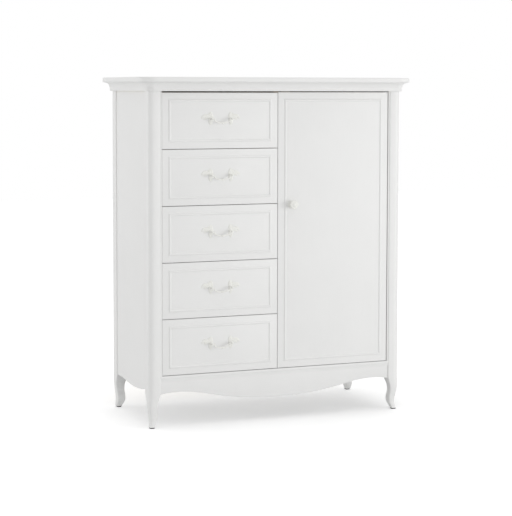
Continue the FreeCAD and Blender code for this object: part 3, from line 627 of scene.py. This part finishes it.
# ---------------------------------------------------------------- top board
# One glued-up board with round front corners, its upper and lower edges routed round, screwed down
# from below and lacquered on all sides.
top, low, high = slab("top_board")
pick(top, "EDGE", lambda e: abs(e.verts[0].co.z - e.verts[1].co.z) > 0.01 and e.verts[0].co.y < 0)
bpy.ops.mesh.bevel(offset=0.067, segments=20, affect="EDGES")
pick(top, "EDGE", lambda e: all(v.co.z > high.z - 1e-5 for v in e.verts)
     and not all(v.co.y > high.y - 1e-5 for v in e.verts))
bpy.ops.mesh.bevel(offset=0.006, segments=5, affect="EDGES")
pick(top, "EDGE", lambda e: all(v.co.z < low.z + 1e-5 for v in e.verts)
     and not all(v.co.y > high.y - 1e-5 for v in e.verts))
bpy.ops.mesh.bevel(offset=0.003, segments=3, affect="EDGES")
finished(top, "routed_top_board", "case", lacquer_across, "painted_wood", "top_board", smooth=40)


# ---------------------------------------------------------------- drawers
# Poplar boxes with grooved sides run on hardwood runners.  Each false front is a lacquered board
# with sanded arrises, and carries a frame of half-round beading, mitred and glued on.
dress(poplar_deep, "drawer_runners", *["drawer_%d_box" % number for number in range(1, 6)])


def front_board(node):
    """Board with its front arrises sanded round and its back ones just broken."""
    board, low, high = slab(node)
    pick(board, "EDGE", lambda e: all(v.co.y < low.y + 1e-5 for v in e.verts))
    bpy.ops.mesh.bevel(offset=0.0018, segments=4, affect="EDGES")
    pick(board, "EDGE", lambda e: all(v.co.y > high.y - 1e-5 for v in e.verts))
    bpy.ops.mesh.bevel(offset=0.0006, segments=1, affect="EDGES")
    return board


def bead_frame(node):
    """Half-round frame: a sheet is inset and raised in steps, opened, and closed at its back."""
    low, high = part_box(node)
    width, rise = 0.011, high.y - low.y
    middle = ((low.x + high.x) / 2, high.y, (low.z + high.z) / 2)
    bead = begin(bpy.ops.mesh.primitive_plane_add, size=1, rotation=(math.pi / 2, 0, 0),
                 location=middle)
    bpy.ops.transform.resize(value=(high.x - low.x, 1, high.z - low.z), center_override=middle)
    bpy.ops.mesh.select_mode(type="FACE")
    steps = 10
    across = [0.5 * width * (1 - math.cos(math.pi * step / steps)) for step in range(steps + 1)]
    up = [rise * math.sin(math.pi * share / width) ** 1.1 for share in across[:-1]] + [0.0]
    for step in range(1, steps + 1):
        bpy.ops.mesh.inset(thickness=across[step] - across[step - 1], depth=0)
        bpy.ops.transform.translate(value=(0, up[step - 1] - up[step], 0))
    bpy.ops.mesh.delete(type="FACE")
    pick(bead, "EDGE", lambda e: e.is_boundary)
    bpy.ops.mesh.bridge_edge_loops()
    return bead


first_front = finished(front_board("drawer_1_front"), "drawer_1_false_front", "drawer_1",
                       lacquer_across, "painted_wood", "drawer_1_front", smooth=40)
first_bead = finished(bead_frame("drawer_1_beading"), "drawer_1_bead_frame", "drawer_1",
                      lacquer_across, "painted_wood", "drawer_1_beading", smooth=40)
for number in range(2, 6):
    drawer = "drawer_%d" % number
    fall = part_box(drawer + "_front")[0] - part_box("drawer_1_front")[0]
    finished(another(first_front, fall), drawer + "_false_front", drawer, lacquer_across,
             "painted_wood", drawer + "_front", smooth=40)
    finished(another(first_bead, fall), drawer + "_bead_frame", drawer, lacquer_across,
             "painted_wood", drawer + "_beading", smooth=40)


# ---------------------------------------------------------------- bail pulls
# Each pull is two zinc castings and a swag handle between them, sprayed off-white and wiped with a
# thin glaze that lies in faint patches.  The eye gets soft leaves whose hollows are darkened with
# painted shade.
cast_paint, tree = blank_material("glazed_off_white_paint_with_painted_crease_shade_on_zinc")
form = add_node(tree, "ShaderNodeNewGeometry")
# The glaze lies in faint patches of a few millimetres.
patch = noise(tree, place_on(tree), 300.0, 4.0, 0.6)
# Painted shade: the colour is darkened where the surface curves inwards, in the hollows and creases
# of the castings and the knob, where shade falls.
crease_shade = two_tone(tree, form.outputs["Pointiness"], 0.44, "DBDBD5", 0.50, "FFFFFF")
glaze = two_tone(tree, patch, 0.30, "F9F9F5", 0.65, "FFFFFF")
coat = multiplied(tree, glaze, crease_shade, 0.6)
tone = add_node(tree, "ShaderNodeRGB")
tone.outputs[0].default_value = linear("EDEDEA")
surfaced(tree, [("Base Color", multiplied(tree, tone.outputs[0], coat)),
                ("Roughness", spread(tree, patch, 0.30, 0.45)),
                ("Normal", bumps(tree, patch, 0.15, 0.0002))], IOR=1.5)


def drawn_through(rings):
    """Loop of corners that is set at the first ring and extruded on to each of the others."""
    piece = outline(rings[0])
    places = [Vector(place) for place in rings[0]]
    for ring in rings[1:]:
        bpy.ops.mesh.extrude_region_move(TRANSFORM_OT_translate={"value": (0, 0, 0)})
        mesh = bmesh.from_edit_mesh(piece.data)
        loose = [corner for corner in mesh.verts if corner.select]
        moves = [(min(loose, key=lambda corner: (corner.co - place).length_squared), target)
                 for place, target in zip(places, ring)]
        for corner, target in moves:
            corner.co = target
        bmesh.update_edit_mesh(piece.data)
        places = [Vector(target) for target in ring]
    return closed_up(piece)


def circle(centre, across, upwards, radius, count, flutes=0, depth=0.0):
    """Ring of corners round the centre, drawn in by depth between the flutes."""
    ring = []
    for index in range(count):
        turn = 2 * math.pi * (index + 0.5) / count
        reach = radius * (1 - depth * (0.5 - 0.5 * math.cos(flutes * turn)))
        ring.append(Vector(centre) + Vector(across) * (reach * math.cos(turn))
                    + Vector(upwards) * (reach * math.sin(turn)))
    return ring


def joined(pieces):
    """One object of several."""
    bpy.ops.object.select_all(action="DESELECT")
    for piece in pieces:
        piece.select_set(True)
    bpy.context.view_layer.objects.active = pieces[0]
    bpy.ops.object.join()
    return pieces[0]


def shaped_by(piece, kind, **settings):
    """Adds a modifier with those settings and applies it."""
    bpy.ops.object.select_all(action="DESELECT")
    piece.select_set(True)
    bpy.context.view_layer.objects.active = piece
    modifier = piece.modifiers.new(kind.lower(), kind)
    for key, value in settings.items():
        setattr(modifier, key, value)
    bpy.ops.object.modifier_apply(modifier=modifier.name)


def cut_away(piece, cutter):
    """Takes the shape of the cutter out of the piece."""
    closed_up(cutter)
    shaped_by(piece, "BOOLEAN", object=cutter, operation="DIFFERENCE", solver="EXACT")
    bpy.data.objects.remove(cutter)


# Leaves of a right-hand casting, in millimetres: x, z, half width and rise along each spine.
leaves = [
    [(0.0, 0.0, 4.5, 2.6), (-1.0, 10.0, 8.0, 3.0), (-0.5, 20.0, 7.0, 2.6), (1.0, 27.5, 2.0, 1.2)],
    [(1.0, 1.0, 4.5, 2.4), (5.0, 10.0, 4.5, 2.6), (8.5, 18.0, 3.4, 2.2), (9.5, 24.0, 1.2, 1.0)],
    [(2.0, 3.0, 4.5, 2.6), (13.0, 9.5, 7.5, 2.9), (25.0, 11.5, 7.0, 2.6), (33.0, 7.5, 5.0, 2.2),
     (38.5, 0.5, 1.2, 1.2)],
    [(12.0, 4.0, 3.4, 2.2), (22.0, 2.0, 4.0, 2.2), (29.5, -3.0, 1.2, 1.0)],
    [(0.5, 0.0, 5.0, 2.6), (1.5, -9.0, 8.5, 3.0), (1.0, -18.0, 6.0, 2.6), (-1.0, -24.5, 1.8, 1.2)],
    [(-1.0, 0.0, 4.5, 2.6), (-6.5, 6.0, 3.8, 2.4), (-9.0, 13.0, 1.6, 1.2)],
    [(-1.0, -1.0, 4.5, 2.4), (-6.5, -6.0, 3.8, 2.2), (-8.5, -12.0, 1.4, 1.0)]]
leaf_section = [(-1.0, 0.0), (-0.94, 0.34), (-0.70, 0.78), (-0.34, 1.0), (0.0, 0.72), (0.34, 1.0),
                (0.70, 0.78), (0.94, 0.34), (1.0, 0.0)]
bail_low, bail_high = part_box("drawer_1_bail")
pin_past_centre = 0.002         # the pins end this far beyond the middle of each casting
pin_below_top = 0.0032          # the arms of the bail rise this far above the pins
pull_middle = (bail_low.x + bail_high.x) / 2
pull_centres = bail_high.x - bail_low.x - 2 * pin_past_centre
face_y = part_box("drawer_1_front")[0].y
axis_y = (bail_low.y + bail_high.y) / 2
stand = face_y - axis_y


def leaf(spine):
    """Leaf that lies on the drawer, with a vein down its middle, and runs out to a point."""
    rows = flowing(spine, 3)
    rings = []
    for index, (x, z, half, rise) in enumerate(rows):
        before, after = rows[max(index - 1, 0)], rows[min(index + 1, len(rows) - 1)]
        away = Vector((before[1] - after[1], 0, after[0] - before[0])).normalized() * max(half, 0.6)
        rings.append([(Vector((x, 0, z)) + away * side + Vector((0, -rise * up, 0))) / 1000
                      for side, up in leaf_section])
    return drawn_through(rings)


castings = [leaf(spine) for spine in leaves]
stem_profile = [(0.0, 7.5), (2.0, 7.2), (3.4, 6.0), (4.6, 4.6), (6.5, 3.5), (9.0, 3.0), (13.0, 2.9),
                (16.0, 3.3), (18.0, 4.0), (stand * 1000, 4.2)]
castings.append(drawn_through([circle((0, -out / 1000, 0), (1, 0, 0), (0, 0, 1), radius / 1000, 20)
                               for out, radius in stem_profile]))
casting = joined(castings)
shaped_by(casting, "REMESH", mode="VOXEL", voxel_size=0.00042)
shaped_by(casting, "SMOOTH", factor=0.5, iterations=3)
shaped_by(casting, "DECIMATE", ratio=0.16)
# The end of the stem is bored across for the bail's pin.
bore = begin(bpy.ops.mesh.primitive_cylinder_add, vertices=28, radius=0.0021, depth=0.012,
             rotation=(0, math.pi / 2, 0), location=(0, -stand, 0))
cut_away(casting, bore)
eye = begin(bpy.ops.mesh.primitive_torus_add, major_radius=0.00325, minor_radius=0.00115,
            major_segments=28, minor_segments=12, rotation=(0, math.pi / 2, 0),
            location=(0, -stand, 0))
bpy.ops.mesh.select_all(action="SELECT")
bpy.ops.transform.resize(value=(3.45, 1, 1), center_override=(0, -stand, 0))
casting = joined([casting, closed_up(eye)])


def swag_handle():
    """Bail: round bar that falls from each eye, sweeps through a swag and swells to a knop."""
    eye_half, side_play, arm_radius = 0.004, 0.0009, 0.0026
    arm = pull_centres / 2 - eye_half - side_play - arm_radius
    swag_radius, shoulder_radius, drop = 0.080, 0.010, 0.0155
    joint = swag_radius - shoulder_radius
    lift = swag_radius - drop
    turn_end = math.asin((arm - shoulder_radius) / joint)
    shoulder = (math.sin(turn_end) * joint, lift - math.cos(turn_end) * joint)
    thick = [(0.0, 4.4), (0.045, 4.2), (0.085, 3.4), (0.105, 3.5), (0.125, 3.4), (0.145, 2.6),
             (0.25, 2.75), (0.4, 2.95), (0.55, 2.9), (0.7, 2.7), (0.85, 2.6), (1.0, 2.6)]
    stations = [((0.0, lift), swag_radius, share * turn_end, radius) for share, radius in thick]
    for step in range(1, 7):
        turn = turn_end + step / 6 * (math.pi / 2 - turn_end)
        stations.append((shoulder, shoulder_radius, turn, 2.6))
    rings = []
    for (x, z), bend, turn, radius in stations:
        outward = Vector((math.sin(turn), 0, -math.cos(turn)))
        rings.append(circle(Vector((x, 0, z)) + outward * bend, outward, (0, 1, 0),
                            radius / 1000, 16))
    for above, radius in ((0.0014, arm_radius), (0.0026, 0.0022), (pin_below_top, 0.0013)):
        rings.append(circle((arm, 0, above), (1, 0, 0), (0, 1, 0), radius, 16))
    left_rings = [[Vector((-corner.x, corner.y, corner.z)) for corner in ring]
                  for ring in reversed(rings[1:])]
    parts = [drawn_through(left_rings + rings)]
    for side in (-1, 1):
        end = pull_centres / 2 + pin_past_centre
        parts.append(drawn_through([circle((side * x, 0, 0), (0, 1, 0), (0, 0, 1), radius, 16)
                                    for x, radius in ((arm, 0.00195), (end - 0.0005, 0.00195),
                                                      (end, 0.0014))]))
    return joined(parts)


handle = swag_handle()
for number in range(1, 6):
    drawer = "drawer_%d" % number
    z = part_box(drawer + "_bail")[1].z - pin_below_top
    for side, name in ((1, "right"), (-1, "left")):
        place = (pull_middle + side * pull_centres / 2, face_y, z)
        finished(another(casting, place, mirror=side < 0), drawer + "_" + name + "_pull_casting",
                 drawer, cast_paint, "painted_pull", drawer + "_pull_mounts", smooth=50)
    finished(another(handle, (pull_middle, axis_y, z)), drawer + "_swag_bail", "bail_%d" % number,
             cast_paint, "painted_pull", drawer + "_bail", smooth=50)
for start in (casting, handle):
    bpy.data.objects.remove(start)


# ---------------------------------------------------------------- door, knob, pivots and catch
# One lacquered board with beading, hung on two steel pivots let into its ends.  The knob is cast
# like the pulls, with shallow petals; the striker meets a plastic catch under the case top.
door, low, high = slab("door_panel")
pick(door, "EDGE", lambda e: abs(e.verts[0].co.z - e.verts[1].co.z) > 0.5 and e.verts[0].co.x > 0.3)
bpy.ops.mesh.bevel(offset=0.0035, segments=6, affect="EDGES")
pick(door, "EDGE", lambda e: all(v.co.y < low.y + 1e-5 for v in e.verts)
     and not all(v.co.x > high.x - 0.004 for v in e.verts))
bpy.ops.mesh.bevel(offset=0.0016, segments=4, affect="EDGES")
closed_up(door)
pocket_depth = 0.014
pocket_low, pocket_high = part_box("pivot_sockets")
for z in (pocket_low.z, pocket_high.z):
    place = ((pocket_low.x + pocket_high.x) / 2, (pocket_low.y + pocket_high.y) / 2, z)
    cut_away(door, cuboid(place, (pocket_high.x - pocket_low.x, pocket_high.y - pocket_low.y,
                                  2 * pocket_depth)))
finished(door, "door_board", "door", lacquer_upright, "painted_wood", "door_panel", smooth=40)
finished(bead_frame("door_beading"), "door_bead_frame", "door", lacquer_upright, "painted_wood",
         "door_beading", smooth=40)

knob_low, knob_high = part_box("door_knob")
knob_x, knob_z = (knob_low.x + knob_high.x) / 2, (knob_low.z + knob_high.z) / 2
knob_radius = (knob_high.z - knob_low.z) / 2
reach = knob_high.y - knob_low.y
# Share of the reach, radius as a share of the knob's, and depth of the petals there.
knob_profile = [(0.0, 0.84, 0.0), (0.035, 0.85, 0.02), (0.07, 0.81, 0.05), (0.10, 0.70, 0.06),
                (0.14, 0.62, 0.03), (0.20, 0.56, 0.0), (0.30, 0.53, 0.0), (0.42, 0.53, 0.0),
                (0.54, 0.57, 0.01), (0.62, 0.66, 0.04), (0.69, 0.80, 0.07), (0.75, 0.93, 0.09),
                (0.80, 0.99, 0.10), (0.84, 0.99, 0.10), (0.875, 0.94, 0.10), (0.905, 0.84, 0.10),
                (0.925, 0.72, 0.09), (0.935, 0.60, 0.06), (0.922, 0.50, 0.02), (0.935, 0.44, 0.0),
                (0.965, 0.36, 0.0), (0.988, 0.22, 0.0), (1.0, 0.07, 0.0)]
knob = drawn_through([circle((knob_x, knob_high.y - reach * out, knob_z), (1, 0, 0), (0, 0, 1),
                             knob_radius * share, 72, 12, petals)
                      for out, share, petals in knob_profile])
finished(knob, "petalled_door_knob", "door", cast_paint, "painted_pull", "door_knob", smooth=50)

# Zinc plate on mild steel: a cool grey with the faint cloudiness of barrel plating.
zinc, tree = blank_material("zinc_plated_steel")
cloud = noise(tree, place_on(tree), 250.0, 4.0, 0.6)
surfaced(tree, [("Base Color", two_tone(tree, cloud, 0.3, "A9ABAD", 0.7, "C4C6C8")),
                ("Roughness", spread(tree, cloud, 0.24, 0.42))], Metallic=1.0)
dress(zinc, "pivot_plates", "pivot_sockets", "catch_strike")

# Injection-moulded polypropylene: milky white with a fine spark-eroded grain.
catch_white, tree = blank_material("moulded_white_polypropylene")
grain = noise(tree, place_on(tree), 1500.0, 2.0)
surfaced(tree, [("Base Color", two_tone(tree, grain, 0.3, "DDDAD0", 0.7, "E3E0D7")),
                ("Normal", bumps(tree, grain, 0.3, 0.0001))], Roughness=0.5, IOR=1.49)
dress(catch_white, "door_catch")


# ---------------------------------------------------------------- shelf and garment rod
# A birch plywood shelf rests on two poplar cleats, and a turned beech rod lies in slotted poplar
# brackets.  All of it is clear sealed, and the eye gets it only when the door is open.
dress(birch_across, "shelf")
dress(poplar_deep, "shelf_cleats", "rod_brackets")
dress(sealed_wood("sealed_turned_beech", 0, "DDBE93", "CDA877", 0.010, 0.0016, 0.42), "garment_rod")


# ---------------------------------------------------------------- screws
# Zinc-plated pan heads with a cross recess hold the back board, the drawer fronts, the pulls, the
# knob and the rod brackets.  Each head sits on the wood, and a little of its shank reaches into it.
def pan_head(radius, rise):
    """Screw head at the origin that faces forwards, with a cross cut into its dome."""
    head = drawn_through([circle((0, -out * rise, 0), (1, 0, 0), (0, 0, 1), share * radius, 28)
                          for out, share in ((-0.4, 0.5), (0.0, 0.5), (0.0, 0.97), (0.2, 1.0),
                                             (0.5, 0.98), (0.8, 0.84), (0.95, 0.62), (1.0, 0.35))])
    for wide, tall in ((0.22, 1.15), (1.15, 0.22)):
        cut_away(head, cuboid((0, -rise, 0), (wide * radius, rise, tall * radius)))
    return head


def screwed(head, name, body, place, turn):
    """Copy of the head, turned about the upright and seated at the place."""
    screw = another(head)
    screw.data.transform(Matrix.Rotation(turn, 4, "Z"))
    screw.data.transform(Matrix.Translation(place))
    finished(screw, name, body, zinc, "steel", smooth=35)


machine_head = pan_head(0.0042, 0.0026)
wood_head = pan_head(0.0036, 0.0022)
inner_front, screw_out = 0.012, 0.175
for number in range(1, 6):
    drawer = "drawer_%d" % number
    low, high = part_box(drawer + "_box")
    inside = low.y + inner_front
    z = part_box(drawer + "_bail")[1].z - pin_below_top
    for side in (-1, 1):
        end = "left" if side < 0 else "right"
        screwed(machine_head, drawer + "_" + end + "_pull_screw", drawer,
                (pull_middle + side * pull_centres / 2, inside, z), math.pi)
        for place, height in (("upper", high.z - 0.030), ("lower", low.z + 0.038)):
            screwed(wood_head, drawer + "_" + place + "_" + end + "_front_screw", drawer,
                    (pull_middle + side * screw_out, inside, height), math.pi)
screwed(machine_head, "knob_screw", "door", (knob_x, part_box("door_panel")[1].y, knob_z), math.pi)
# Along the top and the foot of the back board, and up the middle into the partition.
low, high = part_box("back_panel")
across_pitch, upward_pitch = 0.180, 0.200
for index in range(6):
    x = low.x + 0.044 + index * across_pitch
    for row, z in (("top", high.z - 0.018), ("foot", low.z + 0.008)):
        screwed(wood_head, "back_%s_screw_%d" % (row, index + 1), "case", (x, high.y, z), math.pi)
partition_x = -0.002
for index in range(5):
    place = (partition_x, high.y, low.z + 0.160 + index * upward_pitch)
    screwed(wood_head, "back_middle_screw_%d" % (index + 1), "case", place, math.pi)
low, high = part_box("rod_brackets")
bracket_thickness = 0.018
for end, x, turn in (("left", low.x + bracket_thickness, math.pi / 2),
                     ("right", high.x - bracket_thickness, -math.pi / 2)):
    for place, y in (("front", low.y + 0.0075), ("rear", high.y - 0.0075)):
        screwed(wood_head, end + "_bracket_" + place + "_screw", "case", (x, y, high.z - 0.013),
                turn)
for start in (machine_head, wood_head):
    bpy.data.objects.remove(start)
